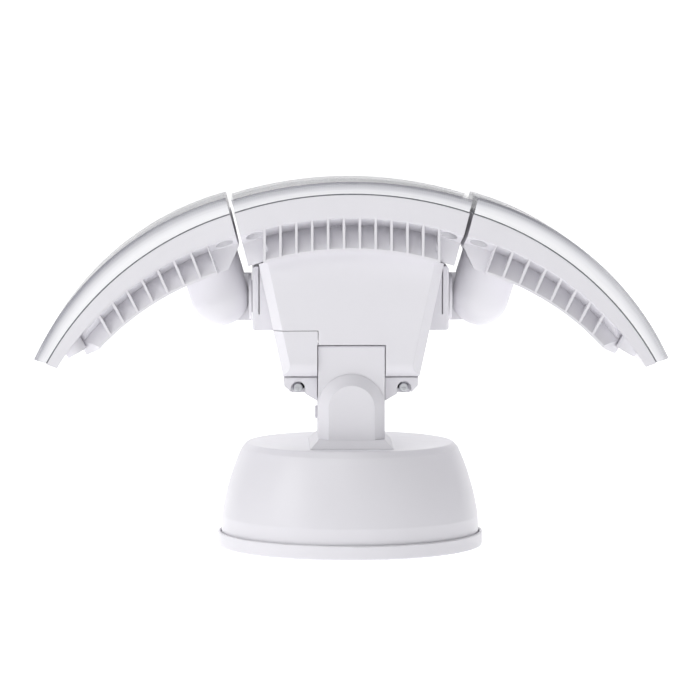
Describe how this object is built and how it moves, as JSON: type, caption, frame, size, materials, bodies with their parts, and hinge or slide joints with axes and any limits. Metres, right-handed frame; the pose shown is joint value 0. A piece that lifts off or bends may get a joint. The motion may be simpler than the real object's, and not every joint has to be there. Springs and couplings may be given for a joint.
{
  "type": "floodlight security camera",
  "caption": "Wall floodlight with a round base, tilting arm, curved finned light panels, swinging side panels and a camera pod on the ground side.",
  "frame": {"origin": "centre of the round base's wall face, which is also the centre of the junction-box screw line", "axes": "+Z out of the wall along the base's axis, +X to the right seen from the sky side, -Y faces the sky when mounted and +Y faces the ground"},
  "size_m": [0.3106, 0.17, 0.1823],
  "materials": {
    "white_plastic": "satin moulded casing plastic",
    "gloss_white": "smooth glossy casing plastic",
    "heat_sink_white": "die-cast aluminium, white powder coat",
    "clear_cover": "clear ridged polycarbonate",
    "reflector_white": "glossy white reflector",
    "seal_rubber": "dark silicone rubber",
    "board": "white solder mask on aluminium-core board",
    "green_board": "green solder mask",
    "black_plastic": "black moulded plastic",
    "steel": "zinc plated steel",
    "window_glass": "dark tinted window",
    "lens_glass": "coated lens",
    "motion_white": "milky polyethylene",
    "foam": "closed-cell foam gasket"
  },
  "bodies": {
    "base": {"wall_plate": "white_plastic", "wall_gasket": "foam", "mounting_bracket": "steel", "base_canopy": "gloss_white", "canopy_lock_screw": "steel", "arm": "white_plastic", "arm_rear_cover": "white_plastic", "arm_side_screw": "white_plastic", "arm_screws": "steel", "hinge_bolt": "steel", "hinge_nut": "steel"},
    "head": {"access_cover": "white_plastic", "button_board": "green_board", "button_spring": "steel", "centre_heat_sink": "heat_sink_white", "centre_led_board": "board", "centre_lens": "clear_cover", "centre_lens_seal": "seal_rubber", "centre_panel_screws": "steel", "centre_reflector": "reflector_white", "front_window": "window_glass", "head_housing": "white_plastic", "head_top_cover": "white_plastic", "hinge_washers": "steel", "housing_screws": "steel", "image_sensor_board": "green_board", "ir_led_ring": "black_plastic", "led_driver": "black_plastic", "left_ear": "white_plastic", "lens_barrel": "black_plastic", "lens_glass": "lens_glass", "main_board": "green_board", "motion_lens": "motion_white", "motion_sensor": "steel", "pod_bezel": "black_plastic", "pod_rear_cap": "white_plastic", "pod_shell": "white_plastic", "right_ear": "white_plastic", "speaker": "black_plastic"},
    "left_neck": {"left_neck": "white_plastic", "left_neck_ring": "steel"},
    "right_neck": {"right_neck": "white_plastic", "right_neck_ring": "steel"},
    "left_wing": {"left_heat_sink": "heat_sink_white", "left_knuckle": "white_plastic", "left_led_board": "board", "left_lens": "clear_cover", "left_lens_seal": "seal_rubber", "left_panel_screws": "steel", "left_reflector": "reflector_white", "left_swing_pin": "steel"},
    "right_wing": {"right_heat_sink": "heat_sink_white", "right_knuckle": "white_plastic", "right_led_board": "board", "right_lens": "clear_cover", "right_lens_seal": "seal_rubber", "right_panel_screws": "steel", "right_reflector": "reflector_white", "right_swing_pin": "steel"},
    "reset_button": {"reset_button": "black_plastic"}
  },
  "joints": [
    {"name": "head_tilt", "type": "hinge", "parent": "base", "child": "head", "pos_m": [0, -0.0096, 0.0844], "axis": [1, 0, 0], "range_deg": [-30, 0]},
    {"name": "left_tilt", "type": "hinge", "parent": "head", "child": "left_neck", "pos_m": [-0.0644, 0, 0.124], "axis": [1, 0, 0], "range_deg": [-8, 8]},
    {"name": "left_swing", "type": "hinge", "parent": "left_neck", "child": "left_wing", "pos_m": [-0.0644, 0, 0.124], "axis": [0, -1, 0], "range_deg": [0, 28]},
    {"name": "right_tilt", "type": "hinge", "parent": "head", "child": "right_neck", "pos_m": [0.0644, 0, 0.124], "axis": [1, 0, 0], "range_deg": [-8, 8]},
    {"name": "right_swing", "type": "hinge", "parent": "right_neck", "child": "right_wing", "pos_m": [0.0644, 0, 0.124], "axis": [0, 1, 0], "range_deg": [0, 28]},
    {"name": "reset_press", "type": "slide", "parent": "head", "child": "reset_button", "axis": [0, 0, 1], "range_m": [0, 0.0008], "stiffness_N_per_m": 600, "springref_m": -0.0004, "deforming": ["button_spring"]}
  ]
}
